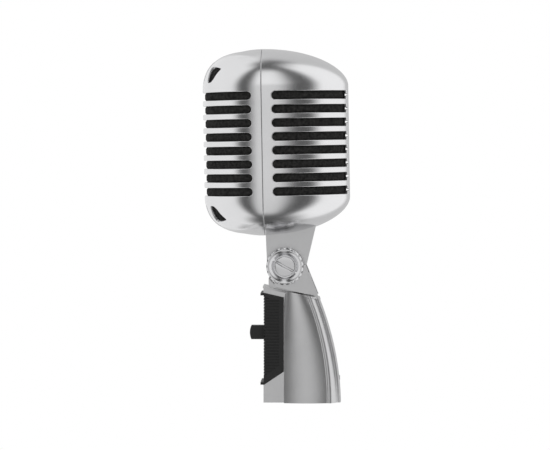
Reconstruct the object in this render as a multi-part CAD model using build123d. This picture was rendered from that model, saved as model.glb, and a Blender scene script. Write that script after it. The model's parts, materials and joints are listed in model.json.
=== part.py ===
"""Side-address vocal microphone head on a swivel stand adapter, in millimetres.

The origin is the centre of the stand thread's mouth on the flat underside. +Z is up, the side that is
spoken to faces -Y, and the swivel's bolt runs along X. The head is built upright and then leans
forward about the bolt by head_lean.
"""

from build123d import *
import os
from math import cos, pi, radians, sin, tan

os.makedirs("parts", exist_ok=True)

# Head case: two shells that meet at the seam plane, with oval plans and domed ends
head_lean = 1.0
head_z = 138.7
seam_y = -9.15
half_width = 28.0
front_depth = 31.4
rear_depth = 45.6
case_half_height = 49.8
straight_half_height = 29.5
side_fullness = 0.45
top_fullness = 0.59
wall = 1.6
seam_gap = 0.3

# Slots in the case
slot_count = 8
slot_pitch = 7.22
slot_height = 4.3
slot_mid_z = head_z - 0.6
slot_seam_gap = 5.3
spine_half_width = 6.0
vent_r = 0.55
vent_inset = 1.3

# Raised band down the middle of the front shell, with sloping sides, widest by the seam. Its outline in
# plan is given by distances from the centre plane and ahead of the seam.
band_depth = 32.1
band_half_height = 49.3
band_straight_half_height = 27.5
band_side_fullness = 0.83
band_top_fullness = 0.57
band_side = [(9.5, 33.5), (15.2, 26.6), (16.5, 18.9), (18.0, 13.4), (19.5, 4.5)]

# Upright openings through the band, above and below the slots, by distances from the slots' middle
flute_x = 4.6
flute_width = 2.4
flute_low = 32.1
flute_high = 43.1
fin_low = 32.5
fin_high = 40.4

# Screws and their seats inside the head
screw_r = 1.25
screw_head_r = 2.4
screw_head_height = 1.6
foot_top_z = 93.6
tab_front_y = seam_y - 7.5
tab_rear_y = -7.3
tab_low_z = 91.8
tab_top_z = 95.0
case_screw_y = seam_y - 3.6
case_screw_z = 89.3
boss_r = 3.5
boss_face_y = 24.0
chassis_points = [(-4.2, 169.5), (4.2, 169.5), (0.0, 116.0)]
chassis_top_z = 173.5
neck_screw_y = (-4.5, 12.6)
wire_y = 8.3
wire_r = 1.8

# Cartridge and the chassis that holds it
cartridge_r = 15.0
cartridge_front_y = -26.0
cartridge_rear_y = 4.0
rubber_r = 18.0
rubber_groove_r = 17.0
chassis_front_y = -11.4
chassis_ring_y = -8.6
chassis_ring_r = 20.4
chassis_plate_y = 10.0
chassis_thickness = 2.0
chassis_leg_x = 19.2
chassis_leg_width = 1.4
chassis_screw_tip_y = 28.0

# Foam liners
foam_gap = 0.1
foam_thickness = 3.0

# Swivel
pivot_y = 1.3
pivot_z = 72.7
tongue_r = 9.6
tongue_half_width = 6.2
cheek_inner_x = 6.8
cheek_outer_x = 10.5
cheek_r = 10.1
saddle_r = 12.0
saddle_y = 2.6
bolt_r = 3.0
bush_r = 4.0
running_gap = 0.05
screw_gap = 0.05
ring_r = 9.9
ring_thickness = 3.1
ring_teeth = 20
ring_floor = 1.4
ring_dish_r = 8.5
bolt_head_r = 5.3
bolt_head_height = 1.6
bolt_slot_angle = -30.0

# Mount body
base_front_y = -10.1
base_rear_y = 31.1
front_half_width = 10.5
step_y = 0.9
flange_thickness = 1.0
flange_proud = 0.35
flange_front_z = 61.0
flange_slope = 0.21

# Stand thread, 5/8 inch with 27 threads to the inch, and the three-pin connector
thread_r = 7.94
insert_r = 8.9
insert_length = 12.0
insert_relief = 0.8
socket_y = 19.6
socket_r = 9.8
socket_depth = 16.0
pin_r = 1.2
pin_circle_r = 5.0

# Switch
plate_half_width = 11.2
plate_wall = 1.4
plate_front_y = -10.0
plate_rear_y = 0.7
plate_lip_y = -11.7
rib_pitch = 1.57
rib_depth = 0.65
knob_half_width = 2.6
knob_low_z = 33.2
knob_height = 7.4
knob_travel = 4.3
knob_tip_y = -17.7
knob_gap = 0.3

pivot = Pos(0, pivot_y, pivot_z)


def slab(x0, x1, y0, y1, z0, z1):
    """A box given by its lowest and highest corners."""
    size = Box(x1 - x0, y1 - y0, z1 - z0, align=(Align.MIN, Align.MIN, Align.MIN))
    return Pos(x0, y0, z0) * size


def rod_x(r, x0, x1, y, z):
    """A round bar along X."""
    return Pos((x0 + x1) / 2, y, z) * Rot(0, 90, 0) * Cylinder(r, x1 - x0)


def rod_y(r, y0, y1, x, z):
    """A round bar along Y."""
    return Pos(x, (y0 + y1) / 2, z) * Rot(90, 0, 0) * Cylinder(r, y1 - y0)


def rod_z(r, z0, z1, x, y):
    """A round bar along Z."""
    return Pos(x, y, (z0 + z1) / 2) * Cylinder(r, z1 - z0)


def side_prism(points, half_x):
    """A prism along X whose outline is given by (y, z) points."""
    return extrude(Plane.YZ * make_face(Polyline(*points, close=True)), half_x, both=True)


def leaned(shape):
    """The shape turned forward about the bolt."""
    return pivot * Rot(head_lean, 0, 0) * pivot.inverse() * shape


def export(name, *solids):
    """Writes one sub-part, of one or more solids."""
    shape = solids[0] if len(solids) == 1 else Compound(children=list(solids))
    export_step(shape, os.path.join("parts", name + ".step"))


def export_head(name, *solids):
    """Writes a sub-part of the head in its leaning place."""
    export(name, *[leaned(solid) for solid in solids])


# ---------------------------------------------------------------- head case


def half_outline(width, half_height, straight, side_full=side_fullness, top_full=top_fullness):
    """The right half of an upright outline: a straight side between two full, rounded corners.

    side_full and top_full are how far each corner keeps to the side and to the top.
    """
    rise = half_height - straight
    edges = []
    for sign in (1, -1):
        edges.append(
            Bezier(
                (width, sign * straight),
                (width, sign * (straight + side_full * rise)),
                (top_full * width, sign * half_height),
                (0, sign * half_height),
            )
        )
    return [edges[0], Line((width, -straight), (width, straight)), edges[1]]


def egg(width, depth, half_height, straight, *fullness):
    """The whole body of revolution behind both shells, stretched along Y to the given depth.

    Its side outline is straight over the slotted height, with a full corner above and below.
    """
    axis = Line((0, half_height), (0, -half_height))
    outline = make_face([*half_outline(width, half_height, straight, *fullness), axis])
    body = revolve(Plane.XZ * outline, Axis.Z)
    return Pos(0, seam_y, head_z) * scale(body, by=(1, depth / width, 1))


def front_half(y):
    """Everything in front of a Y plane."""
    return slab(-60, 60, -100, y, 0, 300)


def rear_half(y):
    """Everything behind a Y plane."""
    return slab(-60, 60, y, 100, 0, 300)


def shell_egg(depth, inset):
    """The case's form moved inwards by an inset."""
    return egg(half_width - inset, depth - inset, case_half_height - inset, straight_half_height)


def slot_levels():
    """The slots' middle heights, from the top down."""
    top = slot_mid_z + slot_pitch * (slot_count - 1) / 2
    return [top - slot_pitch * i for i in range(slot_count)]


def slot_prism(y_round, y_open, z, half_x):
    """A slot along Y with one round end, cut across the whole width."""
    r = slot_height / 2
    y_low, y_high = sorted((y_round, y_open))
    bar = slab(-half_x, half_x, y_low, y_high, z - r, z + r)
    return bar + rod_x(r, -half_x, half_x, y_round, z)


def fin_opening(side, sign):
    """A fin-shaped opening through the band, as a prism along Y, narrow by the slots and wide by the crown."""
    inner = [(10.2, fin_low), (9.5, 34.7), (8.2, 37.4), (7.0, fin_high)]
    outer = [(15.6, fin_high), (15.1, 37.0), (15.0, 34.4), (13.6, fin_low)]
    points = [(side * x, slot_mid_z + sign * z) for x, z in inner + outer]
    return extrude(Plane.XZ * make_face(Polyline(*points, close=True)), 60)


def half_egg(depth, inset, half):
    """One side of the case's form, cut at the seam."""
    return shell_egg(depth, inset) & half


def make_front_case():
    half = front_half(seam_y - seam_gap / 2)
    raised = egg(
        half_width + 0.5,
        band_depth,
        band_half_height,
        band_straight_half_height,
        band_side_fullness,
        band_top_fullness,
    )
    plan = [(x, seam_y - y) for x, y in band_side]
    plan += [(-x, y) for x, y in reversed(plan)]
    band = raised & extrude(make_face(Polyline(*plan, close=True)), 300)
    shell = (half_egg(front_depth, 0, half) + band) - half_egg(front_depth, wall, half)
    r = slot_height / 2
    openings = [slot_prism(seam_y - slot_seam_gap - r, -60, z, 40) for z in slot_levels()]
    for sign in (1, -1):
        z0, z1 = sorted((slot_mid_z + sign * flute_low, slot_mid_z + sign * flute_high))
        for side in (1, -1):
            x = side * flute_x
            openings.append(fin_opening(side, sign) & slab(-30, 30, -60, -25, 0, 300))
            openings.append(slab(x - flute_width / 2, x + flute_width / 2, -60, -29, z0, z1))
    return shell - openings - case_screw_hole


def make_rear_case():
    half = rear_half(seam_y + seam_gap / 2)
    inside = half_egg(rear_depth, wall / 2, half)
    fillings = [slab(-9, 9, -8.6, 16, 80, foot_top_z)]
    fillings += [rod_y(boss_r, boss_face_y, 60, x, z) for x, z in chassis_points]
    shell = half_egg(rear_depth, 0, half) - half_egg(rear_depth, wall, half)
    shell = shell + [filling & inside for filling in fillings]
    shell += slab(-6, 6, tab_front_y, tab_rear_y, tab_low_z, tab_top_z)
    r = slot_height / 2
    openings = []
    for z in slot_levels():
        cut = slot_prism(seam_y + slot_seam_gap + r, 60, z, 40)
        openings.append(cut - slab(-spine_half_width, spine_half_width, 0, 100, 0, 300))
        openings.append(rod_x(vent_r, -12, 12, seam_y + rear_depth - vent_inset, z))
    openings += [rod_y(screw_r + screw_gap, boss_face_y - 1, 30, x, z) for x, z in chassis_points]
    openings += [rod_z(screw_r + screw_gap, 70, 100, 0, y) for y in neck_screw_y]
    openings += [rod_z(screw_head_r + 0.1, foot_top_z, foot_top_z + 2, 0, y) for y in neck_screw_y]
    openings.append(rod_z(wire_r, 80, 100, 0, wire_y))
    return shell - openings - case_screw_hole


case_screw_hole = rod_z(screw_r + screw_gap, 80, tab_top_z + 1, 0, case_screw_y) + rod_z(
    screw_head_r + 0.1, 80, case_screw_z + 1.2, 0, case_screw_y
)


def pan_screw(length, head_r=screw_head_r, head_height=screw_head_height, r=screw_r):
    """A slotted pan screw along Z: its head above Z 0 and its shank below."""
    shank = Pos(0, 0, -length / 2) * Cylinder(r, length)
    head = Pos(0, 0, head_height / 2) * Cylinder(head_r, head_height)
    head = fillet(head.edges().sort_by(Axis.Z)[-1], head_height * 0.45)
    slot = Pos(0, 0, head_height) * Box(3 * head_r, head_r * 0.3, head_height)
    return (shank + head) - slot


def make_foam(depth, half):
    """A foam liner against the inside of a case shell."""
    outer = wall + foam_gap
    return (shell_egg(depth, outer) - shell_egg(depth, outer + foam_thickness)) & half


def seam_face(inset):
    """The case's outline in the seam plane, moved inwards by an inset."""
    right = half_outline(half_width - inset, case_half_height - inset, straight_half_height)
    left = [mirror(edge, about=Plane.YZ) for edge in right]
    return make_face([*right, *left])


seam_plane = Plane(origin=(0, seam_y, head_z), x_dir=(1, 0, 0), z_dir=(0, -1, 0))
case_seal = extrude(seam_plane * (seam_face(0.25) - seam_face(wall + 0.3)), seam_gap / 2, both=True)

front_foam = make_foam(front_depth, front_half(seam_y - 1)) - slab(-7, 7, -30, 0, 80, tab_top_z + 1)
rear_foam_rooms = [slab(-10, 10, -10, 17, 80, tab_top_z + 1)]
rear_foam_rooms += [rod_y(boss_r + 0.4, 0, 60, x, z) for x, z in chassis_points]
rear_foam = make_foam(rear_depth, rear_half(seam_y + 1)) - rear_foam_rooms

case_screw = Pos(0, case_screw_y, case_screw_z + 1.2) * Rot(180, 0, 0) * pan_screw(4.2, head_height=1.1)

# ---------------------------------------------------------------- cartridge

cup = rod_y(cartridge_r, cartridge_front_y + 2, cartridge_rear_y, 0, head_z)
cup -= rod_y(cartridge_r - 1.2, cartridge_front_y, cartridge_rear_y - 1.5, 0, head_z)
cartridge_body = cup + rod_y(4.0, cartridge_rear_y, 7.0, 0, head_z)

grille = rod_y(cartridge_r, cartridge_front_y, cartridge_front_y + 1.95, 0, head_z)
grille -= rod_y(cartridge_r - 1.2, cartridge_front_y + 0.8, cartridge_front_y + 3, 0, head_z)
for ring_at, holes in ((0, 1), (4.5, 6), (9.0, 12)):
    for i in range(holes):
        angle = 2 * pi * i / holes
        hole_x, hole_z = ring_at * cos(angle), head_z + ring_at * sin(angle)
        grille -= rod_y(1.1, cartridge_front_y - 1, cartridge_front_y + 1, hole_x, hole_z)

dome = Pos(0, 2.8, head_z) * (Sphere(12.0) - Sphere(11.75))
diaphragm = (Pos(0, -12.0, 0) * dome) & rod_y(8.5, -30, -14, 0, head_z)
diaphragm_rim = rod_y(13.6, -17.0, -16.7, 0, head_z) - rod_y(8.4, -18, -16, 0, head_z)
coil = rod_y(7.4, -16.6, -10.0, 0, head_z) - rod_y(6.9, -17, -9, 0, head_z)
magnet = rod_y(6.2, -14.0, -2.0, 0, head_z)
yoke_cup = rod_y(12.0, -15.0, 0.0, 0, head_z) - rod_y(8.0, -16, -2.0, 0, head_z)

rubber = rod_y(rubber_r, -14.0, -6.0, 0, head_z) - rod_y(cartridge_r + 0.02, -15, -5, 0, head_z)
rubber -= rod_y(20, chassis_front_y - 0.1, chassis_ring_y + 0.1, 0, head_z) - rod_y(
    rubber_groove_r, -12, -8, 0, head_z
)


def make_chassis():
    """A pressed frame: a ring round the cartridge, two legs, and a rear plate with three screw bosses."""
    frame = rod_y(chassis_ring_r, chassis_front_y, chassis_ring_y, 0, head_z)
    frame -= rod_y(rubber_groove_r + 0.05, -12, -8, 0, head_z)
    plate_rear_y = chassis_plate_y + chassis_thickness
    edge = chassis_leg_x + chassis_leg_width / 2
    for side in (-1, 1):
        leg_x = side * chassis_leg_x
        x0, x1 = leg_x - chassis_leg_width / 2, leg_x + chassis_leg_width / 2
        frame += slab(x0, x1, chassis_front_y, plate_rear_y, head_z - 5, head_z + 5)
    frame += slab(-edge, edge, chassis_plate_y, plate_rear_y, head_z - 5, head_z + 5)
    frame += slab(-9, 9, chassis_plate_y, plate_rear_y, head_z - 2, chassis_top_z)
    frame += slab(-5, 5, chassis_plate_y, plate_rear_y, 111, head_z)
    for x, z in chassis_points:
        frame += rod_y(boss_r - 0.2, chassis_plate_y, boss_face_y, x, z)
    for x, z in chassis_points:
        frame -= rod_y(screw_r + screw_gap, 5, 30, x, z)
    return frame


chassis = make_chassis()
chassis_screws = [
    Pos(x, chassis_plate_y, z) * Rot(90, 0, 0) * pan_screw(chassis_screw_tip_y - chassis_plate_y)
    for x, z in chassis_points
]

core_y = chassis_plate_y + chassis_thickness
transformer_core = slab(-9, 9, core_y, core_y + 7.5, 120, 132)
winding = slab(-6, 6, core_y + 7.5, core_y + 9.7, 121, 131)

# ---------------------------------------------------------------- neck

neck_side = [
    (pivot_y - tongue_r, pivot_z),
    (-9.0, 100.0),
    (19.6, 100.0),
    (12.8, 73.4),
    (pivot_y, pivot_z),
]


def make_neck():
    neck = side_prism(neck_side, tongue_half_width)
    neck += rod_x(tongue_r, -tongue_half_width, tongue_half_width, pivot_y, pivot_z)
    neck -= shell_egg(rear_depth, 0)
    neck -= rod_x(bush_r + running_gap, -20, 20, pivot_y, pivot_z)
    neck -= rod_z(wire_r, 50, 100, 0, wire_y)
    for y in neck_screw_y:
        neck -= rod_z(screw_r + screw_gap, 83.8, 100, 0, y)
    return neck.solids().sort_by(SortBy.VOLUME)[-1]


neck_screws = [Pos(0, y, foot_top_z) * pan_screw(9.5) for y in neck_screw_y]

# ---------------------------------------------------------------- swivel bolt


def make_tension_ring():
    """A toothed ring on +X, dished for the bolt's head."""
    ring = rod_x(ring_r, cheek_outer_x, cheek_outer_x + ring_thickness, pivot_y, pivot_z)
    outer_edge = ring.edges().filter_by(GeomType.CIRCLE).sort_by(Axis.X)[-1]
    ring = chamfer(outer_edge, 0.9)
    for i in range(ring_teeth):
        angle = 360 * i / ring_teeth
        notch = Pos(12.4, 0, ring_r + 0.25) * Rot(0, 90, 0) * Cylinder(0.95, 2.6)
        ring -= pivot * Rot(angle, 0, 0) * notch
    dish = Cone(bolt_head_r + 0.7, ring_dish_r, ring_thickness - ring_floor)
    ring -= pivot * Pos(cheek_outer_x + (ring_thickness + ring_floor) / 2, 0, 0) * Rot(0, 90, 0) * dish
    return ring - rod_x(bolt_r + running_gap, 0, 20, pivot_y, pivot_z)


def slotted_head():
    x0 = cheek_outer_x + ring_floor
    head = rod_x(bolt_head_r, x0, x0 + bolt_head_height, pivot_y, pivot_z)
    head = chamfer(head.edges().filter_by(GeomType.CIRCLE).sort_by(Axis.X)[-1], 0.3)
    slot = Pos(x0 + bolt_head_height, 0, 0) * (Box(2.0, 30, 0.8) + Rot(0, 45, 0) * Box(1.2, 30, 1.2))
    return head - pivot * Rot(bolt_slot_angle, 0, 0) * slot


def across(shape):
    """The same shape on the other side of the object."""
    return mirror(shape, about=Plane.YZ)


tension_ring = make_tension_ring()
bolt_head = slotted_head()
sleeve_x = -7.0
bolt = bolt_head + rod_x(bolt_r, sleeve_x - 4, cheek_outer_x + 1.5, pivot_y, pivot_z)
nut = across(bolt_head) + rod_x(bolt_r, -cheek_outer_x - 1.5, sleeve_x - 4.1, pivot_y, pivot_z)
bush = rod_x(bush_r, -cheek_inner_x + 0.02, cheek_inner_x - 0.02, pivot_y, pivot_z)
bush -= rod_x(bolt_r + running_gap, -20, 20, pivot_y, pivot_z)
washer = rod_x(8.6, tongue_half_width + 0.04, cheek_inner_x - 0.02, pivot_y, pivot_z)
washer -= rod_x(bush_r + running_gap, 0, 20, pivot_y, pivot_z)

# ---------------------------------------------------------------- mount body


def rear_y(z):
    """The rear silhouette's distance at a height, a shallow curve that leans forward upwards."""
    return base_rear_y - 0.025 * z - 0.00332 * z**2


def groove_y(z):
    """Where the flute down each side lies at a height."""
    return 23.65 + 0.0164 * z - 0.00366 * z**2


def body_half_width(z):
    """The half-width of the body, which narrows upwards."""
    return 14.4 - 0.05 * z


def body_section(z, grow):
    """The body's plan at a height, from the step behind the switch plate to the rounded rear."""
    w = body_half_width(z) + grow
    groove = (w - 1.5, groove_y(z))
    rear = (0, rear_y(z) + grow)
    front = (w - 1.3, step_y)

    def half(sign):
        flank = ThreePointArc(
            (sign * front[0], front[1]), (sign * w, (step_y + groove[1]) * 0.45), (sign * groove[0], groove[1])
        )
        bead = Spline(
            (sign * groove[0], groove[1]),
            (sign * (w - 1.4), groove[1] + 2.2),
            (sign * w * 0.62, rear[1] - 1.9),
            rear,
            tangents=[(sign * 0.8, 1), (-sign, 0)],
        )
        return [flank, bead]

    right, left = half(1), half(-1)
    front_line = Line((-front[0], step_y), (front[0], step_y))
    return Pos(0, 0, z) * make_face([front_line, *right, *left])


def body_blank(grow):
    """The main body before it is cut along the flange."""
    return loft([body_section(z, grow) for z in (0, 16, 32, 48, 64)])


def flange_cut(raise_by):
    """Everything above the sloping plane of the flange, raised by a distance."""
    drop = flange_slope * 60
    z0 = flange_front_z + raise_by + flange_slope * 10
    return side_prism([(-20, z0), (40, z0 - drop), (40, 120), (-20, 120)], 40)


plate_side = [
    (plate_front_y, 9.4),
    (plate_rear_y, 16.6),
    (plate_rear_y, 56.2),
    (plate_front_y, 58.6),
]
inner_half_width = plate_half_width - plate_wall
inner_front_y = plate_front_y + plate_wall + 0.2
cavity_side = [(-6.8, 24.0), (-6.8, 53.0), (12.0, 50.0), (18.0, 42.0), (21.5, 30.0), (22.5, 24.0)]
plate_screw_z = (51.5, 14.5)
switch_screw_z = (22.9, 46.6)
yoke_screws_at = [(-0.5, 52.2), (10.8, 50.6)]
yoke_screw_tip_z = 60.1
window_half_width = 6.5

core = slab(-front_half_width, front_half_width, base_front_y, step_y + 0.5, 0, 70)
plate_room = side_prism([(plate_front_y - 3, 9.4), *plate_side, (plate_front_y - 3, 58.6)], 20)
plate_room -= slab(-inner_half_width + 0.1, inner_half_width - 0.1, inner_front_y, 20, 0, 70)
mount_body = (body_blank(0) + core) - flange_cut(0) - plate_room
mount_body -= side_prism(cavity_side, 8.0)
mount_body -= slab(-window_half_width, window_half_width, -12, -6, 21.4, 48.2)
mount_body += slab(-2.6, 2.6, inner_front_y + 1, -4, 49.0, 54.5)
mount_body -= rod_z(insert_r, -1, insert_length + insert_relief, 0, 0)
mount_body -= rod_z(socket_r, -1, socket_depth, 0, socket_y)
mount_body -= rod_z(7.0, 0, 25, 0, socket_y)
for z in plate_screw_z:
    mount_body -= rod_y(1.0 + screw_gap, -12, -4.6, 0, z)
for y, seat_z in yoke_screws_at:
    mount_body -= rod_z(screw_r + screw_gap, 40, 70, 0, y)
    mount_body -= rod_z(screw_head_r + 0.1, 45, seat_z, 0, y)
mount_body -= rod_z(wire_r, 40, 70, 0, 4.4)
mount_body -= rod_y(1.3, 25, 40, 0, 12.5)

flange = (body_blank(flange_proud) + slab(-10.8, 10.8, base_front_y - 0.3, 5, 0, 70)) - flange_cut(flange_thickness)
flange = flange & flange_cut(0)
cheek_side = [
    (-4.3, 62.0),
    (-4.3, pivot_z),
    (12.2, 73.6),
    (18.9, 57.0),
    (10.0, 58.5),
]
cheeks = side_prism(cheek_side, cheek_outer_x) + rod_x(
    cheek_r - 0.25, -cheek_outer_x, cheek_outer_x, pivot_y, pivot_z
)
cheeks -= slab(-cheek_inner_x, cheek_inner_x, -20, 40, 50, 100)
saddle = side_prism([(-7.5, 61.0), (-7.5, 68.0), (13.6, 70.5), (17.2, 58.0), (5, 59)], cheek_inner_x)
saddle -= rod_x(saddle_r, -20, 20, saddle_y, pivot_z)
yoke = (flange + cheeks + saddle) & flange_cut(0)
yoke -= rod_x(bolt_r + running_gap, -20, 20, pivot_y, pivot_z)
for y, seat_z in yoke_screws_at:
    yoke -= rod_z(screw_r + screw_gap, 40, yoke_screw_tip_z + 0.2, 0, y)
yoke -= rod_z(wire_r, 40, 70, 0, 4.4)
yoke_screws = [
    Pos(0, y, seat_z) * Rot(180, 0, 0) * pan_screw(yoke_screw_tip_z - seat_z) for y, seat_z in yoke_screws_at
]

insert = rod_z(insert_r, 0, insert_length, 0, 0) - rod_z(thread_r, -1, insert_length + 1, 0, 0)

# ---------------------------------------------------------------- connector

connector_insert = rod_z(socket_r - 0.05, 11.0, socket_depth, 0, socket_y)
pin_places = [
    (pin_circle_r * sin(radians(a)), socket_y - pin_circle_r * cos(radians(a))) for a in (-60, 60, 180)
]
pins = []
for x, y in pin_places:
    connector_insert -= rod_z(pin_r + screw_gap, 5, 20, x, y)
    tip = Pos(x, y, 2.6) * Sphere(pin_r)
    pins.append(rod_z(pin_r, 2.6, 20.0, x, y) + tip)
connector_screw = rod_y(1.2, socket_y + socket_r + 0.05, 30.6, 0, 12.5)

# ---------------------------------------------------------------- switch

outer_plate = side_prism(plate_side, plate_half_width)
lips = slab(-plate_half_width, plate_half_width, plate_lip_y, plate_front_y + 0.1, 57.2, 58.5)
lips += slab(-plate_half_width, plate_half_width, plate_lip_y, plate_front_y + 0.1, 9.6, 10.9)
switch_plate = outer_plate + lips
switch_plate -= slab(-inner_half_width, inner_half_width, inner_front_y - 0.1, 20, 0, 70)
switch_plate -= rod_z(insert_r + 0.05, 0, insert_length + insert_relief, 0, 0)
rib_low_z, rib_high_z = 12.0, 56.4
rib_count = int((rib_high_z - rib_low_z) / rib_pitch)
rib_block = slab(-30, 30, -20, -1.7, 0, 70) - slab(
    -plate_half_width + rib_depth, plate_half_width - rib_depth, plate_front_y + rib_depth, 0, 0, 70
)
border = side_prism([(-12, 12.6), (-1.7, 19.6), (-1.7, 54.4), (-12, 56.9)], 20)
for i in range(rib_count + 1):
    z = rib_low_z + rib_pitch * i
    groove = slab(-30, 30, -30, 10, z - rib_pitch / 4, z + rib_pitch / 4)
    switch_plate -= groove & rib_block & border
knob_high_z = knob_low_z + knob_height
switch_plate -= slab(
    -knob_half_width - knob_gap,
    knob_half_width + knob_gap,
    -20,
    -5,
    knob_low_z - knob_travel - knob_gap,
    knob_high_z + knob_gap,
)
for z in plate_screw_z:
    switch_plate -= rod_y(1.0 + screw_gap, -20, -5, 0, z)
    switch_plate -= rod_y(2.0 + screw_gap, -20, plate_front_y + 0.9, 0, z)
for z in switch_screw_z:
    switch_plate -= rod_y(0.8 + screw_gap, -20, -5, 0, z)
    switch_plate -= rod_y(1.5 + screw_gap, -20, plate_front_y + 0.8, 0, z)

plate_screws = [
    Pos(0, plate_front_y + 0.9, z) * Rot(90, 0, 0) * pan_screw(4.3, 1.95, 0.7, 1.0) for z in plate_screw_z
]
switch_screws = [
    Pos(0, plate_front_y + 0.8, z) * Rot(90, 0, 0) * pan_screw(2.0, 1.45, 0.6, 0.8) for z in switch_screw_z
]

knob_mid_z = knob_low_z + knob_height / 2
knob = slab(-knob_half_width, knob_half_width, knob_tip_y, -8.7, knob_low_z, knob_high_z)
knob &= rod_x(9.0, -10, 10, knob_tip_y + 9.0, knob_mid_z) + slab(-10, 10, -14, 0, 20, 60)
knob -= slab(-1.3, 1.3, -12.0, -5, knob_mid_z - 1.6, knob_mid_z + 1.6)
lever = slab(-1.25, 1.25, -11.9, -4.5, knob_mid_z - 1.55, knob_mid_z + 1.55)

frame_front_y = -8.35
switch_frame = slab(-6.0, 6.0, frame_front_y, frame_front_y + 0.5, 21.6, 48.0)
slot_low_z = knob_mid_z - knob_travel - 2.2
slot_high_z = knob_mid_z + 2.2
lever_slot = slab(-1.6, 1.6, -9, -4.0, slot_low_z, slot_high_z)
switch_frame -= lever_slot
for z in switch_screw_z:
    switch_frame -= rod_y(0.8 + screw_gap, -20, -5, 0, z)
switch_case = slab(-5.5, 5.5, frame_front_y + 0.5, 1.0, 26.5, 43.5) - lever_slot
terminals = []
for x in (-3.0, 3.0):
    for z in (knob_mid_z - 6.2, knob_mid_z - 2.2, knob_mid_z + 1.8):
        terminals.append(slab(x - 0.8, x + 0.8, 1.0, 4.5, z - 0.2, z + 0.2))

# ---------------------------------------------------------------- sub-parts

export_head("front_case", make_front_case())
export_head("rear_case", make_rear_case())
export_head("case_seal", case_seal)
export_head("case_screw", case_screw)
export_head("front_foam", front_foam)
export_head("rear_foam", rear_foam)
export_head("cartridge_body", cartridge_body)
export_head("cartridge_grille", grille)
export_head("diaphragm", diaphragm + diaphragm_rim)
export_head("voice_coil", coil)
export_head("magnet", magnet)
export_head("magnet_yoke", yoke_cup)
export_head("shock_mount", rubber)
export_head("chassis", chassis)
export_head("chassis_screws", *chassis_screws)
export_head("transformer_core", transformer_core)
export_head("transformer_winding", winding)
export_head("neck", make_neck())
export_head("neck_screws", *neck_screws)
export("pivot_bolt", bolt)
export("pivot_nut", nut)
export("tension_ring_near", tension_ring)
export("tension_ring_far", across(tension_ring))
export("pivot_bush", bush)
export("friction_washers", washer, across(washer))
export("mount_body", mount_body)
export("swivel_yoke", yoke)
export("yoke_screws", *yoke_screws)
export("thread_insert", insert)
export("connector_insert", connector_insert)
export("connector_pins", *pins)
export("connector_screw", connector_screw)
export("switch_plate", switch_plate)
export("switch_plate_screws", *plate_screws)
export("switch_knob", knob)
export("switch_lever", lever)
export("switch_frame", switch_frame)
export("switch_case", switch_case)
export("switch_screws", *switch_screws)
export("switch_terminals", *terminals)
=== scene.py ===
"""Looks of the microphone: shells, foam, castings, materials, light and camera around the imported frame."""

import json
from math import asin, cos, hypot, pi, radians, sin, sqrt

import bmesh
import bpy
import numpy as np
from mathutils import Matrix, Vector
from mathutils.geometry import delaunay_2d_cdt


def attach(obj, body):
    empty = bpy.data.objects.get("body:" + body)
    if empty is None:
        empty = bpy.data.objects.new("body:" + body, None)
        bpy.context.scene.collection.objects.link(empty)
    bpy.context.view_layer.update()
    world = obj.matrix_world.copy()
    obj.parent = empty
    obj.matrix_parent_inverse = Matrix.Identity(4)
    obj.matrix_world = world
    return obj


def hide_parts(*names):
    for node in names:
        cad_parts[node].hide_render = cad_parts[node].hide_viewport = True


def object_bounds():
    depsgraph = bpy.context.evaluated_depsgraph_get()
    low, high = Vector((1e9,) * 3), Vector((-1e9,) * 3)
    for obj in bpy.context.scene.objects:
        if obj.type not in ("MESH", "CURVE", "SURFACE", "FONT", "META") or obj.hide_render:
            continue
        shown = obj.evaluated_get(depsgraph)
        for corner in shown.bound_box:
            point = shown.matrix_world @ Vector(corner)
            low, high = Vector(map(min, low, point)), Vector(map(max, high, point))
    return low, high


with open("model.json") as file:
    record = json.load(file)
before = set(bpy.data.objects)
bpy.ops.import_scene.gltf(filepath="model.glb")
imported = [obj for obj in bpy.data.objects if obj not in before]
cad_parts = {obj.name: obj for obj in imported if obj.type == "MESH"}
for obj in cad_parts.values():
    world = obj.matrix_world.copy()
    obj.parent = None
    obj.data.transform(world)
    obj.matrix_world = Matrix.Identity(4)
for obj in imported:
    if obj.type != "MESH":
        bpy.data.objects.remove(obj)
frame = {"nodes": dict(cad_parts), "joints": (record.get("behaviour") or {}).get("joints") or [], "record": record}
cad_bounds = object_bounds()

MM = 0.001

# ------------------------------------------------------------------ dimensions in mm

# The case, as in the CAD model, but with a narrower gap at the seam
HEAD_LEAN = radians(1.0)
PIVOT = Vector(frame["joints"][0]["pos_m"])
HEAD_Z = 138.7
SEAM_Y = -9.15
HALF_WIDTH = 28.0
FRONT_DEPTH = 31.4
REAR_DEPTH = 45.6
WALL = 1.6
SEAM_GAP = 0.14
SLOT_COUNT = 8
SLOT_PITCH = 7.22
SLOT_HEIGHT = 4.3
SLOT_MID = -0.6
SLOT_SEAM_GAP = 5.3
SPINE_HALF_WIDTH = 6.0
VENT_HALF_HEIGHT = 0.55
VENT_DEPTH = 0.7
BAND_DEPTH = 32.1
BAND_FADE_START = 2.0
BAND_FADE = 14.0
FLUTE_X = 4.6
FLUTE_WIDTH = 2.4
FLUTE_LOW = 32.1
FLUTE_HIGH = 43.1
LIP = 0.45
FLUTE_LIP = 0.35
FIN_LIP = 0.3
VENT_LIP = 0.06
LIP_MARGIN = 0.15
SEAM_ROUND = 0.2
FOAM_GAP = 0.1
FOAM_THICKNESS = 3.0
FOAM_SWELL = 0.6

# Spacing of the shells' points: along a row, up the corners and up the straight part, by the seam, and how
# far they keep from a crease and from an opening's outermost ring
GRID_STEP = 0.8
ROW_STEP = 0.7
LEVEL_ROWS = 80
SEAM_COLUMNS = (0.0, 0.06, 0.15, 0.3)
FIRST_COLUMN = 0.55
LINE_CLEARANCE = 0.3
RING_CLEARANCE = 0.2

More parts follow.
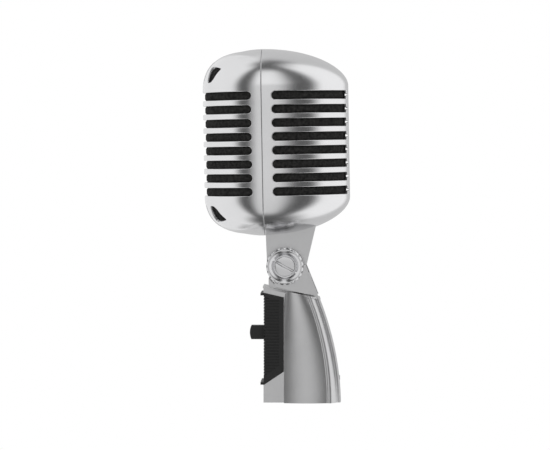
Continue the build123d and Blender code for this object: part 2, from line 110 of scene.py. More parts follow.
# Side outlines: half height, half height of the straight part, and how far a corner keeps to side and top
CASE_OUTLINE = (49.8, 29.5, 0.45, 0.59)
BAND_OUTLINE = (49.3, 27.5, 0.83, 0.57)

# The raised band in plan: how far ahead of the seam, and how far from the centre its slope starts and ends
BAND_FORWARD = (0.0, 5.7, 13.4, 16.4, 18.9, 24.0, 26.6, 34.0)
BAND_INNER = (15.0, 14.8, 12.9, 12.2, 12.2, 12.4, 13.2, 13.2)
BAND_OUTER = (19.5, 19.2, 18.0, 17.2, 16.5, 15.6, 15.2, 15.2)


# ------------------------------------------------------------------ material helpers


def new_material(name):
    mat = bpy.data.materials.new(name)
    mat.use_nodes = True
    tree = mat.node_tree
    return mat, tree, tree.nodes["Principled BSDF"]


def math_node(tree, operation, *values):
    node = tree.nodes.new("ShaderNodeMath")
    node.operation = operation
    for socket, value in zip(node.inputs, values):
        if isinstance(value, (int, float)):
            socket.default_value = value
        else:
            tree.links.new(value, socket)
    return node.outputs["Value"]


def add_noise(tree, scale, detail=6.0, stretch=(1, 1, 1), roughness=0.55):
    """Noise over the object's own coordinates, in units of 1/m, stretched along an axis for a grain."""
    coords = tree.nodes.new("ShaderNodeTexCoord")
    mapping = tree.nodes.new("ShaderNodeMapping")
    mapping.inputs["Scale"].default_value = stretch
    noise = tree.nodes.new("ShaderNodeTexNoise")
    noise.inputs["Scale"].default_value = scale
    noise.inputs["Detail"].default_value = detail
    noise.inputs["Roughness"].default_value = roughness
    tree.links.new(coords.outputs["Object"], mapping.inputs["Vector"])
    tree.links.new(mapping.outputs["Vector"], noise.inputs["Vector"])
    return noise.outputs["Fac"]


def add_ramp(tree, source, low, high, colour_low, colour_high):
    ramp = tree.nodes.new("ShaderNodeValToRGB")
    ramp.color_ramp.elements[0].position = low
    ramp.color_ramp.elements[1].position = high
    ramp.color_ramp.elements[0].color = (*colour_low, 1)
    ramp.color_ramp.elements[1].color = (*colour_high, 1)
    tree.links.new(source, ramp.inputs["Fac"])
    return ramp.outputs["Color"]


def add_range(tree, source, low, high):
    node = tree.nodes.new("ShaderNodeMapRange")
    node.inputs["From Min"].default_value = 0.25
    node.inputs["From Max"].default_value = 0.75
    node.inputs["To Min"].default_value = low
    node.inputs["To Max"].default_value = high
    tree.links.new(source, node.inputs["Value"])
    return node.outputs["Result"]


def add_bump(tree, source, strength, distance, after=None):
    bump = tree.nodes.new("ShaderNodeBump")
    bump.inputs["Strength"].default_value = strength
    bump.inputs["Distance"].default_value = distance
    tree.links.new(source, bump.inputs["Height"])
    if after is not None:
        tree.links.new(after, bump.inputs["Normal"])
    return bump.outputs["Normal"]


def metal(name, dark, light, rough_low, rough_high, grain=(1, 1, 1), grain_scale=900.0, bump=0.06):
    """A metal whose colour, roughness and relief vary with a fine grain and broader cloudiness."""
    mat, tree, shader = new_material(name)
    shader.inputs["Metallic"].default_value = 1.0
    fine = add_noise(tree, grain_scale, stretch=grain)
    broad = add_noise(tree, 45.0, detail=3.0)
    tree.links.new(add_ramp(tree, broad, 0.3, 0.7, dark, light), shader.inputs["Base Color"])
    tree.links.new(add_range(tree, fine, rough_low, rough_high), shader.inputs["Roughness"])
    tree.links.new(add_bump(tree, fine, bump, 0.0002), shader.inputs["Normal"])
    return mat


def plastic(name, dark, light, rough_low, rough_high, grain_scale=2600.0, bump=0.15):
    mat, tree, shader = new_material(name)
    fine = add_noise(tree, grain_scale, detail=4.0)
    tree.links.new(add_ramp(tree, fine, 0.3, 0.7, dark, light), shader.inputs["Base Color"])
    tree.links.new(add_range(tree, fine, rough_low, rough_high), shader.inputs["Roughness"])
    tree.links.new(add_bump(tree, fine, bump, 0.0001), shader.inputs["Normal"])
    return mat


def foam_material():
    mat, tree, shader = new_material("acoustic_foam")
    coords = tree.nodes.new("ShaderNodeTexCoord")
    cells = tree.nodes.new("ShaderNodeTexVoronoi")
    cells.inputs["Scale"].default_value = 1500.0
    tree.links.new(coords.outputs["Object"], cells.inputs["Vector"])
    patches = add_noise(tree, 700.0, detail=8.0, roughness=0.7)
    tree.links.new(
        add_ramp(tree, patches, 0.35, 0.68, (0.012, 0.012, 0.012), (0.055, 0.054, 0.052)),
        shader.inputs["Base Color"],
    )
    shader.inputs["Roughness"].default_value = 1.0
    shader.inputs["Specular IOR Level"].default_value = 0.15
    tree.links.new(add_bump(tree, cells.outputs["Distance"], 0.8, 0.0004), shader.inputs["Normal"])
    return mat


MATERIALS = {
    "satin_chrome": metal("satin_chrome", (0.8, 0.8, 0.81), (0.84, 0.84, 0.85), 0.17, 0.22, bump=0.0),
    "cast_satin": metal("cast_satin", (0.6, 0.6, 0.605), (0.66, 0.66, 0.665), 0.27, 0.34, bump=0.02),
    "polished": metal("polished", (0.66, 0.66, 0.67), (0.72, 0.72, 0.73), 0.12, 0.17, bump=0.005),
    "steel": metal("steel", (0.5, 0.5, 0.5), (0.6, 0.6, 0.6), 0.3, 0.42),
    "brass": metal("brass", (0.6, 0.44, 0.2), (0.75, 0.56, 0.28), 0.22, 0.34),
    "magnet": metal("magnet", (0.2, 0.2, 0.21), (0.28, 0.28, 0.29), 0.5, 0.6),
    "aluminium": metal("aluminium", (0.66, 0.66, 0.67), (0.74, 0.74, 0.75), 0.3, 0.4),
    "copper": metal("copper", (0.5, 0.22, 0.1), (0.65, 0.32, 0.16), 0.3, 0.4),
    "black_plastic": plastic("black_plastic", (0.008, 0.008, 0.008), (0.016, 0.016, 0.016), 0.38, 0.5),
    "rubber": plastic("rubber", (0.015, 0.015, 0.015), (0.03, 0.03, 0.03), 0.6, 0.75),
    "film": plastic("film", (0.6, 0.52, 0.3), (0.7, 0.62, 0.4), 0.15, 0.25),
    "foam": foam_material(),
}


# ------------------------------------------------------------------ mesh helpers


def new_piece(name, vertices, faces, body, slot, smooth_angle=35.0):
    """A mesh object in metres from points in mm, riding on a body, with its slot's material."""
    mesh = bpy.data.meshes.new(name)
    mesh.from_pydata([tuple(float(c) * MM for c in v) for v in vertices], [], faces)
    mesh.validate()
    mesh.materials.append(MATERIALS[slot])
    obj = bpy.data.objects.new(name, mesh)
    bpy.context.scene.collection.objects.link(obj)
    smooth(obj, smooth_angle)
    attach(obj, body)
    return obj


def smooth(obj, angle):
    obj.data.polygons.foreach_set("use_smooth", [True] * len(obj.data.polygons))
    obj.data.set_sharp_from_angle(angle=radians(angle))


def weld(obj, distance=2e-6):
    work = bmesh.new()
    work.from_mesh(obj.data)
    bmesh.ops.remove_doubles(work, verts=work.verts, dist=distance)
    bmesh.ops.dissolve_degenerate(work, edges=work.edges, dist=distance)
    bmesh.ops.recalc_face_normals(work, faces=work.faces)
    work.to_mesh(obj.data)
    work.free()


def lean(points):
    """Points of the upright head, in mm, turned forward about the bolt."""
    pts = np.asarray(points, float)
    c, s = cos(HEAD_LEAN), sin(HEAD_LEAN)
    y, z = pts[:, 1] - PIVOT.y / MM, pts[:, 2] - PIVOT.z / MM
    return np.stack([pts[:, 0], PIVOT.y / MM + c * y - s * z, PIVOT.z / MM + s * y + c * z], axis=1)


# ------------------------------------------------------------------ the case's surface


def corner(half_height, straight, side_full, top_full):
    """Radius, as a share of the full one, and height round an outline's upper corner."""
    t = np.linspace(0, 1, 600)
    b0, b1, b2, b3 = (1 - t) ** 3, 3 * t * (1 - t) ** 2, 3 * t**2 * (1 - t), t**3
    return b0 + b1 + b2 * top_full, straight + (half_height - straight) * (b1 * side_full + b2 + b3)


class CaseSurface:
    """One shell's outer surface, laid out flat as (a, v) in mm.

    a runs round the plan from the nose, v runs up the side outline from the mid-height. The plan is half
    an oval, the outline is straight over the slots with a full Bezier corner above and below.
    """

    def __init__(self, depth, side):
        self.depth, self.side = depth, side
        phi = np.linspace(0, pi / 2, 600)
        steps = np.hypot(np.diff(HALF_WIDTH * np.sin(phi)), np.diff(depth * np.cos(phi)))
        self.phi, self.arc = phi, np.concatenate([[0], np.cumsum(steps)])
        self.straight = CASE_OUTLINE[1]
        radius, z = corner(*CASE_OUTLINE)
        run = np.hypot(np.diff(radius * HALF_WIDTH), np.diff(z))
        self.v = self.straight + np.concatenate([[0], np.cumsum(run)])
        self.radius, self.z = radius, z
        self.slope = (np.gradient(radius * HALF_WIDTH, self.v), np.gradient(z, self.v))
        self.max_a, self.max_v = self.arc[-1], self.v[-1]

    def outline(self, v):
        """Radius as a share of the full one, and height, at v."""
        up = np.abs(v)
        r = np.interp(up, self.v, self.radius, left=1.0)
        z = np.where(up <= self.straight, up, np.interp(up, self.v, self.z))
        return r, np.sign(v) * z

    def plan_angle(self, a):
        return np.sign(a) * np.interp(np.abs(a), self.arc, self.phi)

    def flat(self, x, z):
        """(a, v) of the surface point seen at (x, z) from the front or back."""
        v = np.sign(z) * (abs(z) if abs(z) <= self.straight else np.interp(abs(z), self.z, self.v))
        r, _ = self.outline(np.array(v))
        phi = asin(max(-1.0, min(1.0, x / (HALF_WIDTH * float(r)))))
        return float(np.sign(phi) * np.interp(abs(phi), self.phi, self.arc)), float(v)

    def points(self, a, v, raise_by):
        """Surface points moved outwards by raise_by, in the leaning head's place."""
        a, v = np.asarray(a, float), np.asarray(v, float)
        phi = self.plan_angle(a)
        r, z = self.outline(v)
        x, y = HALF_WIDTH * r * np.sin(phi), self.depth * r * np.cos(phi)
        up = np.abs(v)
        dr = np.interp(up, self.v, self.slope[0], left=0.0)
        dz = np.interp(up, self.v, self.slope[1], left=1.0)
        dr = np.where(up <= self.straight, 0.0, dr)
        dz = np.where(up <= self.straight, 1.0, dz)
        normal = np.stack(
            [dz * np.sin(phi), dz * np.cos(phi) * HALF_WIDTH / self.depth, -dr * np.sign(v)], axis=1
        )
        normal /= np.linalg.norm(normal, axis=1)[:, None]
        base = np.stack([x, y, z], axis=1) + normal * np.asarray(raise_by, float)[:, None]
        base[:, 1] = SEAM_Y + self.side * base[:, 1]
        base[:, 2] += HEAD_Z
        return lean(base), np.stack([x, y], axis=1)


def step(value, start, width):
    """A smooth rise from 0 to 1 as value goes from start to start + width."""
    t = np.clip((value - start) / width, 0, 1)
    return t * t * (3 - 2 * t)


def offset_loop(loop, distance):
    """A closed loop of (a, v) points moved outwards along its own normals."""
    pts = np.asarray(loop, float)
    ahead, behind = np.roll(pts, -1, axis=0) - pts, pts - np.roll(pts, 1, axis=0)
    ahead /= np.linalg.norm(ahead, axis=1)[:, None] + 1e-12
    behind /= np.linalg.norm(behind, axis=1)[:, None] + 1e-12
    tangent = ahead + behind
    tangent /= np.linalg.norm(tangent, axis=1)[:, None] + 1e-12
    normal = np.stack([tangent[:, 1], -tangent[:, 0]], axis=1)
    stretch = 1 / np.clip((ahead * tangent).sum(axis=1), 0.5, 1)
    return pts + normal * (distance * stretch)[:, None]


def counter_clockwise(loop):
    pts = np.asarray(loop, float)
    area = np.sum(pts[:, 0] * np.roll(pts[:, 1], -1) - np.roll(pts[:, 0], -1) * pts[:, 1])
    return pts if area > 0 else pts[::-1]


def inside(points, loop):
    """Which points lie inside a closed loop."""
    x, y = points[:, 0], points[:, 1]
    result = np.zeros(len(points), bool)
    for (x0, y0), (x1, y1) in zip(loop, np.roll(loop, -1, axis=0)):
        crosses = (y0 > y) != (y1 > y)
        at = x0 + (y - y0) * (x1 - x0) / (y1 - y0 + 1e-15)
        result ^= crosses & (x < at)
    return result


def round_cap(x, middle, direction):
    r = SLOT_HEIGHT / 2
    return [(x + direction * r * cos(t), middle + r * sin(t)) for t in np.linspace(-pi / 2, pi / 2, 19)]


def vented_cap(x, vent_x, middle, direction):
    """A slot's square end by the spine, with a small notch in its middle that opens into the vent."""
    r, corner_r, h = SLOT_HEIGHT / 2, 0.35, VENT_HALF_HEIGHT
    pts = [
        (x - direction * corner_r * (1 - cos(t)), middle - r + corner_r * (1 + sin(t)))
        for t in np.linspace(-pi / 2, 0, 5)
    ]
    pts.append((x, middle - 1.2))
    run = np.linspace(x, vent_x, 5)
    pts += [(q, middle - h) for q in run[:-1]]
    for t in (-1.2, -0.6, 0, 0.6, 1.2):
        pts.append((vent_x - direction * 0.3 * (1 - cos(t)) + direction * 0.3, middle + h * sin(t)))
    pts += [(q, middle + h) for q in run[:-1][::-1]]
    pts.append((x, middle + 1.2))
    pts += [
        (x - direction * corner_r * (1 - cos(t)), middle + r - corner_r * (1 - sin(t)))
        for t in np.linspace(0, pi / 2, 5)
    ]
    return pts


def slot_loop(columns, low, high, low_cap, high_cap, middle):
    """A horizontal slot's outline whose straight edges have a point on every column."""
    r = SLOT_HEIGHT / 2
    run = [a for a in columns if low + 0.2 < a < high - 0.2]
    under, over = [(a, middle - r) for a in run], [(a, middle + r) for a in reversed(run)]
    return under + high_cap + over + low_cap[::-1]


def flute_loop(surface, x_mid, sign):
    """A longitudinal opening over the corner, with round ends."""
    z0, z1, r = FLUTE_LOW, FLUTE_HIGH, FLUTE_WIDTH / 2
    pts = [(x_mid + r * cos(t), z1 - r + r * sin(t)) for t in np.linspace(0, pi, 9)]
    pts += [(x_mid - r, z) for z in np.linspace(z1 - r, z0 + r, 12)[1:-1]]
    pts += [(x_mid + r * cos(t), z0 + r + r * sin(t)) for t in np.linspace(pi, 2 * pi, 9)]
    pts += [(x_mid + r, z) for z in np.linspace(z0 + r, z1 - r, 12)[1:-1]]
    return [surface.flat(x, SLOT_MID + sign * z) for x, z in pts]


# The fin-shaped opening's sides, as distances from the centre plane and from the slots' middle
FIN_INNER = ((11.6, 32.5), (11.1, 34.7), (10.0, 37.4), (9.0, 39.9))
FIN_OUTER = ((15.3, 39.9), (15.1, 37.0), (15.0, 34.4), (14.0, 32.5))


def fin_loop(surface, side, sign):
    """The fin-shaped opening beside the flutes, narrow by the slots and wide by the crown."""
    pts = []
    corners = FIN_INNER + FIN_OUTER
    for (x0, z0), (x1, z1) in zip(corners, corners[1:] + corners[:1]):
        count = max(1, round(hypot(x1 - x0, z1 - z0) / 0.55))
        pts += [(x0 + (x1 - x0) * k / count, z0 + (z1 - z0) * k / count) for k in range(count)]
    pts = np.array(pts)
    for _ in range(2):
        pts = (np.roll(pts, 1, axis=0) + 2 * pts + np.roll(pts, -1, axis=0)) / 4
    return [surface.flat(side * x, SLOT_MID + sign * z) for x, z in pts]


def case_shell(name, node, surface, loops_of, proud_of, inner_of, lines_of):
    """One die-cast shell with real thickness, rounded slot lips and a softened seam edge.

    The surface is laid out flat as a grid with each opening's outermost ring and the band's creases in it,
    triangulated, and folded back. Rings then lead over each opening's lip and down its wall.
    """
    max_a, max_v, straight = surface.max_a, surface.max_v, surface.straight
    edge_columns = [max_a - d for d in SEAM_COLUMNS]
    edge_columns = sorted(edge_columns + [-a for a in edge_columns])
    extra_columns, lines = lines_of(surface)
    end = max_a - FIRST_COLUMN
    columns = np.linspace(-end, end, 2 * round(max_a / GRID_STEP) + 1)
    columns = [c for c in columns if all(abs(c - e) > LINE_CLEARANCE for e in extra_columns)]
    columns = sorted(columns + extra_columns)
    loops, lips = [], []
    for loop, lip in loops_of(surface, columns):
        turned = counter_clockwise(loop)
        loops.append(turned)
        lips.append(np.array(lip if np.allclose(turned[0], loop[0]) else lip[::-1]))
    outer_rings = [offset_loop(loop, lip + LIP_MARGIN) for loop, lip in zip(loops, lips)]

    rows = np.linspace(straight, max_v, round((max_v - straight) / ROW_STEP) + 1)
    rows = [*rows, *(-rows)]
    level_rows = np.linspace(-straight, straight, LEVEL_ROWS)[1:-1]
    grid = [(a, v) for v in rows for a in [*edge_columns, *columns]]
    near_seam = [a for a in columns if abs(a) > max_a - SLOT_SEAM_GAP + 0.8]
    middle = [a for a in columns if surface.side > 0 and abs(a) < surface.flat(SPINE_HALF_WIDTH - 1, 0)[0]]
    grid += [(a, v) for v in level_rows for a in [*edge_columns, *near_seam, *middle]]
    grid = np.array(grid)
    blocked = [offset_loop(ring, np.full(len(ring), RING_CLEARANCE)) for ring in outer_rings]

    def in_any(points, shapes):
        found = np.zeros(len(points), bool)
        for shape in shapes:
            low, high = shape.min(0), shape.max(0)
            idx = np.where(np.all((points > low) & (points < high), axis=1))[0]
            if len(idx):
                found[idx[inside(points[idx], shape)]] = True
        return found

    keep = ~in_any(grid, blocked)
    flat, edges, starts = [], [], []
    for line in lines:
        pts = np.array(line)
        clear = ~in_any(pts, blocked)
        index = {}
        for k in np.where(clear)[0]:
            index[k] = len(flat)
            flat.append(tuple(pts[k]))
        edges += [(index[k], index[k + 1]) for k in range(len(pts) - 1) if k in index and k + 1 in index]
        for low in range(0, len(pts), 12):
            part = pts[low : low + 13]
            low_edge, high_edge = part.min(0) - LINE_CLEARANCE, part.max(0) + LINE_CLEARANCE
            box = np.all((grid > low_edge) & (grid < high_edge), axis=1)
            idx = np.where(box & keep)[0]
            if len(idx):
                gap = np.linalg.norm(grid[idx][:, None] - part[None], axis=2).min(axis=1)
                keep[idx[gap < LINE_CLEARANCE]] = False
    flat += [tuple(p) for p in grid[keep]]
    for ring in outer_rings:
        starts.append(len(flat))
        flat += [tuple(p) for p in ring]
        n = len(ring)
        edges += [(starts[-1] + i, starts[-1] + (i + 1) % n) for i in range(n)]
    co, _, tris, origin, _, _ = delaunay_2d_cdt([Vector(p) for p in flat], edges, [], 0, 1e-7)
    new_index = {old: i for i, olds in enumerate(origin) for old in olds}
    co = np.array([tuple(p) for p in co])
    tris = np.array([tuple(t) for t in tris if len(t) == 3])
    tris = tris[~in_any(co[tris].mean(axis=1), outer_rings)]

    def heights(a, v):
        _, xy = surface.points(a, v, np.zeros(len(a)))
        proud = proud_of(xy[:, 0], xy[:, 1], v)
        return proud, inner_of(xy[:, 0], xy[:, 1], v, proud)

    def place(a, v, sink):
        gap = np.clip((np.abs(a) - (max_a - SEAM_ROUND)) / SEAM_ROUND, 0, 1)
        rounding = SEAM_ROUND * (1 - np.sqrt(np.clip(1 - gap**2, 0, 1)))
        return surface.points(a, v, heights(a, v)[0] - rounding - sink)[0]

    vertices, faces = [], []

    def add(points):
        vertices.extend(points)
        return len(vertices) - len(points)

    def strip(first, second, n):
        for i in range(n):
            j = (i + 1) % n
            faces.append((first[i], first[j], second[j], second[i]))

    outer = add(place(co[:, 0], co[:, 1], 0.0))
    inner = add(surface.points(co[:, 0], co[:, 1], heights(co[:, 0], co[:, 1])[1])[0])
    for t in tris:
        faces.append(tuple(int(i) + outer for i in t))
        faces.append(tuple(int(i) + inner for i in reversed(t)))
    for k, (loop, lip) in enumerate(zip(loops, lips)):
        n = len(loop)
        ring = [outer + new_index[starts[k] + i] for i in range(n)]
        inner_ring = [inner + new_index[starts[k] + i] for i in range(n)]
        for t in np.linspace(0, pi / 2, 6):
            pts = offset_loop(loop, lip * (1 - sin(t)))
            start = add(place(pts[:, 0], pts[:, 1], lip * (1 - cos(t))))
            following = [start + i for i in range(n)]
            strip(ring, following, n)
            ring = following
        proud, bottom = heights(loop[:, 0], loop[:, 1])
        for share in (0.5, 1.0):
            depth = (proud - lip) * (1 - share) + bottom * share
            start = add(surface.points(loop[:, 0], loop[:, 1], depth)[0])
            following = [start + i for i in range(n)]
            strip(ring, following, n)
            ring = following
        strip(ring, inner_ring, n)
    for end in (-1, 1):
        rim = [i for i in range(len(co)) if abs(co[i, 0] - end * max_a) < 1e-5]
        rim.sort(key=lambda i: co[i, 1])
        for i, j in zip(rim, rim[1:]):
            faces.append((outer + i, outer + j, inner + j, inner + i))
    shift = surface.side * SEAM_GAP / 2
    obj = new_piece(name, [(x, y + shift, z) for x, y, z in vertices], faces, "head", "satin_chrome")
    weld(obj)
    smooth(obj, 38.0)
    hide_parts(node)


def slot_levels():
    """The slots' middle heights about the head's centre."""
    return [SLOT_MID + SLOT_PITCH * (i - (SLOT_COUNT - 1) / 2) for i in range(SLOT_COUNT)]


def with_lip(loop, lip=LIP):
    return loop, [lip] * len(loop)


def front_loops(surface, columns):
    end, _ = surface.flat(HALF_WIDTH, 0)
    reach = end - SLOT_SEAM_GAP - SLOT_HEIGHT / 2
    loops = []
    for level in slot_levels():
        caps = round_cap(-reach, level, -1), round_cap(reach, level, 1)
        loops.append(with_lip(slot_loop(columns, -reach, reach, *caps, level)))
    for sign in (1, -1):
        loops += [with_lip(flute_loop(surface, side * FLUTE_X, sign), FLUTE_LIP) for side in (1, -1)]
        loops += [with_lip(fin_loop(surface, side, sign), FIN_LIP) for side in (1, -1)]
    return loops


def rear_loops(surface, columns):
    end, _ = surface.flat(HALF_WIDTH, 0)
    reach = end - SLOT_SEAM_GAP - SLOT_HEIGHT / 2
    spine, _ = surface.flat(SPINE_HALF_WIDTH, 0)
    vent, _ = surface.flat(VENT_REACH, 0)
    loops = []
    for level in slot_levels():
        low_cap, high_cap = vented_cap(spine, vent, level, -1), round_cap(reach, level, 1)
        right = slot_loop(columns, spine + 0.2, reach, low_cap, high_cap, level)
        low_cap, high_cap = round_cap(-reach, level, -1), vented_cap(-spine, -vent, level, 1)
        left = slot_loop(columns, -reach, -spine - 0.2, low_cap, high_cap, level)
        for loop in (right, left):
            in_notch = [abs(a) < spine - 0.01 and abs(v - level) < VENT_HALF_HEIGHT + 0.05 for a, v in loop]
            loops.append((loop, [VENT_LIP if notch else LIP for notch in in_notch]))
    return loops


VENT_REACH = HALF_WIDTH * sqrt(1 - (1 - VENT_DEPTH / REAR_DEPTH) ** 2)


def front_surface():
    """The front shell's surface with the band's height over it at each v along the nose."""
    surface = CaseSurface(FRONT_DEPTH, -1)
    radius, z = corner(*BAND_OUTLINE)
    line_y = np.concatenate([np.full(200, BAND_DEPTH), radius * BAND_DEPTH])
    line_z = np.concatenate([np.linspace(0, BAND_OUTLINE[1], 200), z])
    surface.band_v = np.linspace(0, surface.max_v, 400)
    r, height = surface.outline(surface.band_v)
    y = r * FRONT_DEPTH
    gap = np.hypot(line_y[None] - y[:, None], line_z[None] - height[:, None])
    nearest = gap.argmin(axis=1)
    above = line_y[nearest] ** 2 + line_z[nearest] ** 2 > y**2 + height**2
    rise = np.where(above, gap.min(axis=1), 0.0)
    surface.band_rise = np.maximum(rise, 0.2)
    return surface


def band_profile(forward):
    """How far from the centre the band's slope starts and ends, at a distance ahead of the seam."""
    return np.interp(forward, BAND_FORWARD, BAND_INNER), np.interp(forward, BAND_FORWARD, BAND_OUTER)


def front_proud(x, y, v):
    """The raised band down the middle of the front shell, as a height over the shell."""
    start, end = band_profile(y)
    slope = np.clip((end - np.abs(x)) / (end - start), 0, 1)
    slope = 0.6 * slope + 0.4 * slope * slope * (3 - 2 * slope)
    return np.interp(np.abs(v), FRONT.band_v, FRONT.band_rise) * slope * step(y, BAND_FADE_START, BAND_FADE)


def front_inner(x, y, v, proud):
    return proud - WALL


def front_lines(surface):
    """Columns and lines that follow the band's two creases."""
    columns = []
    inner, outer = BAND_INNER[-1], BAND_OUTER[-1]
    for x in (inner - 0.25, inner, inner + 1.0, outer, outer + 0.25):
        a, _ = surface.flat(x, 0)
        columns += [a, -a]
    lines = []
    for share in (-0.12, 0.0, 0.5, 1.0, 1.12):
        points = []
        for z in np.linspace(surface.straight + 0.45, CASE_OUTLINE[0] - 0.02, 60):
            radius = float(np.interp(z, surface.z, surface.radius))
            y = FRONT_DEPTH * radius
            for _ in range(30):
                start, end = band_profile(y)
                x = start + (end - start) * share
                inside_root = radius**2 - (x / HALF_WIDTH) ** 2
                if inside_root <= 0:
                    y = -1.0
                    break
                y = 0.5 * y + 0.5 * FRONT_DEPTH * sqrt(inside_root)
            if y > BAND_FADE_START + 0.2:
                points.append((float(x), float(z)))
        for sx in (1, -1):
            for sz in (1, -1):
                lines.append([surface.flat(sx * x, sz * z) for x, z in points])
    return columns, lines


def rear_proud(x, y, v):
    return np.zeros(len(x))


def rear_inner(x, y, v, proud):
    """The rear shell's inside, thinned along a vent across the spine at each slot's middle."""
    nearest = np.min([np.abs(v - level) for level in slot_levels()], axis=0)
    left = np.maximum(VENT_DEPTH - REAR_DEPTH * (1 - np.sqrt(1 - np.clip(x / HALF_WIDTH, -1, 1) ** 2)), 0.08)
    vented = (nearest < VENT_HALF_HEIGHT + 0.02) & (np.abs(x) < SPINE_HALF_WIDTH - 0.01)
    return np.where(vented, -left, -WALL)


def rear_lines(surface):
    """Lines along both sides of each vent."""
    end, _ = surface.flat(VENT_REACH - 0.5, 0)
    lines = []
    for level in slot_levels():
        for rise in (VENT_HALF_HEIGHT + 0.01, VENT_HALF_HEIGHT + 0.12):
            for sign in (1, -1):
                lines.append([(a, level + sign * rise) for a in np.linspace(-end, end, 13)])
    return [], lines


FRONT = front_surface()
REAR = CaseSurface(REAR_DEPTH, 1)
case_shell("front_shell", "front_case", FRONT, front_loops, front_proud, front_inner, front_lines)
case_shell("rear_shell", "rear_case", REAR, rear_loops, rear_proud, rear_inner, rear_lines)


# ------------------------------------------------------------------ foam liners


def foam_liner(name, node, surface, proud_of):
    """A foam sheet behind the slots that swells a little into each of them."""
    a = np.linspace(-surface.max_a + 1.2, surface.max_a - 1.2, 190)
    v = np.linspace(-surface.max_v + 4, surface.max_v - 4, 300)
    aa, vv = (g.ravel() for g in np.meshgrid(a, v))
    _, xy = surface.points(aa, vv, np.zeros(len(aa)))
    nearest = np.min([np.abs(vv - level) for level in slot_levels()], axis=0)
    swell = FOAM_SWELL * (1 - step(nearest, SLOT_HEIGHT / 2 - 1.0, 0.9))
    if surface.side > 0:
        swell = swell * step(np.abs(xy[:, 0]), SPINE_HALF_WIDTH + 0.6, 1.5) - 0.2
    outer = surface.points(aa, vv, proud_of(xy[:, 0], xy[:, 1], vv) - WALL - FOAM_GAP + swell)[0]
    inner = surface.points(aa, vv, np.full(len(aa), -WALL - FOAM_THICKNESS))[0]
    n, m = len(a), len(v)
    faces = []
    for j in range(m - 1):
        for i in range(n - 1):
            p = j * n + i
            faces.append((p, p + 1, p + n + 1, p + n))
            q = p + n * m
            faces.append((q, q + n, q + n + 1, q + 1))
    rim = list(range(n)) + [j * n + n - 1 for j in range(1, m)]
    rim += [(m - 1) * n + i for i in range(n - 2, -1, -1)] + [j * n for j in range(m - 2, 0, -1)]
    for p, q in zip(rim, rim[1:] + rim[:1]):
        faces.append((p, p + n * m, q + n * m, q))
    obj = new_piece(name, np.concatenate([outer, inner]), faces, "head", "foam")
    weld(obj)
    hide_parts(node)


foam_liner("front_foam_liner", "front_foam", FRONT, front_proud)
foam_liner("rear_foam_liner", "rear_foam", REAR, rear_proud)


# ------------------------------------------------------------------ CAD nodes that stay

SLOT_OF = {s["node"]: s["material_slot"] for s in frame["record"]["subparts"]}
REPLACED = {"front_case", "rear_case", "front_foam", "rear_foam"}
ROUNDED = {"pivot_bolt", "pivot_nut", "tension_ring_near", "tension_ring_far"}
ROUNDING = 0.12
SHARP_ANGLE = radians(28)


def shade_by_angle():
    """Geometry nodes that shade a mesh smooth and keep the edges above SHARP_ANGLE sharp."""
    group = bpy.data.node_groups.new("shade_by_angle", "GeometryNodeTree")
    for way in ("INPUT", "OUTPUT"):
        group.interface.new_socket("Geometry", in_out=way, socket_type="NodeSocketGeometry")
    enter, leave = group.nodes.new("NodeGroupInput"), group.nodes.new("NodeGroupOutput")
    faces, edges = (group.nodes.new("GeometryNodeSetShadeSmooth") for _ in range(2))
    faces.domain, edges.domain = "FACE", "EDGE"
    edges.inputs["Shade Smooth"].default_value = False
    angle = group.nodes.new("GeometryNodeInputMeshEdgeAngle")
    steep = math_node(group, "GREATER_THAN", angle.outputs["Unsigned Angle"], SHARP_ANGLE)
    group.links.new(steep, edges.inputs["Selection"])
    group.links.new(enter.outputs[0], faces.inputs["Geometry"])
    group.links.new(faces.outputs[0], edges.inputs["Geometry"])
    group.links.new(edges.outputs[0], leave.inputs[0])
    return group


SHADING = shade_by_angle()
for node_name, node in frame["nodes"].items():
    for material_slot in node.material_slots:
        material_slot.material = MATERIALS[SLOT_OF[node_name]]
    if node_name not in REPLACED:
        node.modifiers.new("weld", "WELD").merge_threshold = 2e-6
        if node_name in ROUNDED:
            bevel = node.modifiers.new("rounding", "BEVEL")
            bevel.width = ROUNDING * MM
            bevel.segments = 2
            bevel.angle_limit = SHARP_ANGLE
        node.modifiers.new("shading", "NODES").node_group = SHADING


# ------------------------------------------------------------------ stage, light and camera


def camera_only(tree, seen, else_shader):
    """A shader that the camera sees as one thing and light as another, for the white sweep."""
    path = tree.nodes.new("ShaderNodeLightPath")
    mix = tree.nodes.new("ShaderNodeMixShader")
    tree.links.new(path.outputs["Is Camera Ray"], mix.inputs["Fac"])
    tree.links.new(else_shader, mix.inputs[1])
    tree.links.new(seen, mix.inputs[2])
    return mix.outputs["Shader"]


FLOOR_GAP = 0.0003


def stage_floor():
    mesh = bpy.data.meshes.new("floor")
    reach = 12.0
    z = cad_bounds[0][2] - FLOOR_GAP
    corners = [(-reach, -reach, z), (reach, -reach, z), (reach, reach, z), (-reach, reach, z)]
    mesh.from_pydata(corners, [], [(0, 1, 2, 3)])
    mat, tree, shader = new_material("pale_floor")
    tint = add_noise(tree, 3.0)
    colour = add_ramp(tree, tint, 0.3, 0.7, (0.84, 0.84, 0.84), (0.87, 0.87, 0.87))
    tree.links.new(colour, shader.inputs["Base Color"])
    shader.inputs["Roughness"].default_value = 0.9
    glow = tree.nodes.new("ShaderNodeEmission")
    glow.inputs["Strength"].default_value = 1.0
    end = tree.nodes["Material Output"].inputs["Surface"]
    tree.links.new(camera_only(tree, glow.outputs["Emission"], shader.outputs["BSDF"]), end)
    mesh.materials.append(mat)
    floor = bpy.data.objects.new("floor", mesh)
    bpy.context.scene.collection.objects.link(floor)
    floor.visible_glossy = False


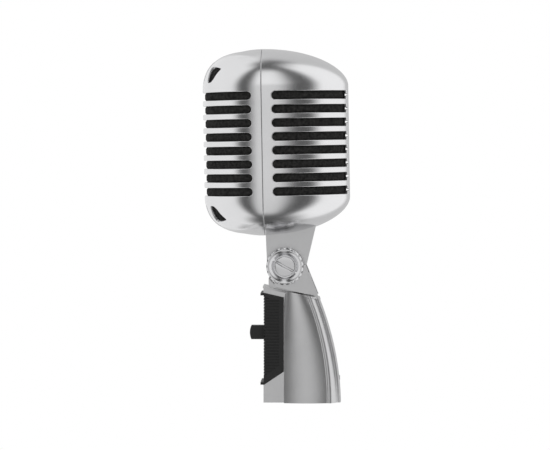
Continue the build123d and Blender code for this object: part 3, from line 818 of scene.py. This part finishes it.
# The studio's soft boxes: the azimuths of their sides from +X towards +Y, the elevations of their lower and
# upper edges, in degrees, and their strength
SOFT_BOXES = {
    "front_key": (-168, -47, -74, 79, 0.78),
    "rear_key": (52, 128, -72, 80, 0.88),
    "camera_fill": (-17, 20, 8, 70, 0.84),
    "low_fill": (-19, 19, -70, 8, 0.6),
    "far_wall": (128, 192, -66, 74, 0.5),
}
BOX_SOFTNESS = 20.0
AMBIENT = 0.1
LIGHT_STRENGTH = 1.0


def soft_edge(tree, angle, low, high, softness=BOX_SOFTNESS):
    """1 between two angles and 0 outside them, with soft edges."""
    turned = math_node(tree, "WRAP", math_node(tree, "SUBTRACT", angle, (low + high) / 2), 180, -180)
    share = tree.nodes.new("ShaderNodeMapRange")
    share.interpolation_type = "SMOOTHSTEP"
    share.inputs["From Min"].default_value = (high - low + softness) / 2
    share.inputs["From Max"].default_value = (high - low - softness) / 2
    tree.links.new(math_node(tree, "ABSOLUTE", turned), share.inputs["Value"])
    return share.outputs["Result"]


def studio():
    """Large soft boxes to the left and right, a narrower one by the camera, and dark gaps between them."""
    world = bpy.data.worlds.new("studio")
    bpy.context.scene.world = world
    world.use_nodes = True
    tree = world.node_tree
    coords = tree.nodes.new("ShaderNodeTexCoord")
    parts = tree.nodes.new("ShaderNodeSeparateXYZ")
    tree.links.new(coords.outputs["Generated"], parts.inputs["Vector"])
    turn = math_node(tree, "ARCTAN2", parts.outputs["Y"], parts.outputs["X"])
    azimuth = math_node(tree, "MULTIPLY", turn, 180 / pi)
    height = math_node(tree, "MULTIPLY", math_node(tree, "ARCSINE", parts.outputs["Z"]), 180 / pi)
    light = AMBIENT
    for left, right, low, high, strength in SOFT_BOXES.values():
        box = math_node(
            tree, "MULTIPLY", soft_edge(tree, azimuth, left, right), soft_edge(tree, height, low, high)
        )
        light = math_node(tree, "MULTIPLY_ADD", box, strength, light)
    lit = tree.nodes["Background"]
    tree.links.new(light, lit.inputs["Color"])
    lit.inputs["Strength"].default_value = LIGHT_STRENGTH
    seen = tree.nodes.new("ShaderNodeBackground")
    seen.inputs["Color"].default_value = (1, 1, 1, 1)
    end = tree.nodes["World Output"].inputs["Surface"]
    tree.links.new(camera_only(tree, seen.outputs["Background"], lit.outputs["Background"]), end)


# The camera's direction in degrees, distance, the width that it frames and the point it looks at, in metres
CAMERA_AZIMUTH = 1.8
CAMERA_ELEVATION = 2.0
CAMERA_DISTANCE = 1.3
FRAMED_WIDTH = 0.2946
SENSOR_WIDTH = 36.0
AIM = Vector((0, -0.0043, 0.0943))


def make_camera():
    data = bpy.data.cameras.new("camera")
    data.sensor_width = SENSOR_WIDTH
    data.lens = SENSOR_WIDTH * CAMERA_DISTANCE / FRAMED_WIDTH
    camera = bpy.data.objects.new("camera", data)
    az, el = radians(CAMERA_AZIMUTH), radians(CAMERA_ELEVATION)
    away = Vector((cos(el) * cos(az), cos(el) * sin(az), sin(el)))
    camera.location = AIM + away * CAMERA_DISTANCE
    camera.rotation_euler = away.to_track_quat("Z", "Y").to_euler()
    bpy.context.scene.collection.objects.link(camera)
    bpy.context.scene.camera = camera


stage_floor()
studio()
make_camera()
bpy.context.scene.view_settings.view_transform = "Standard"
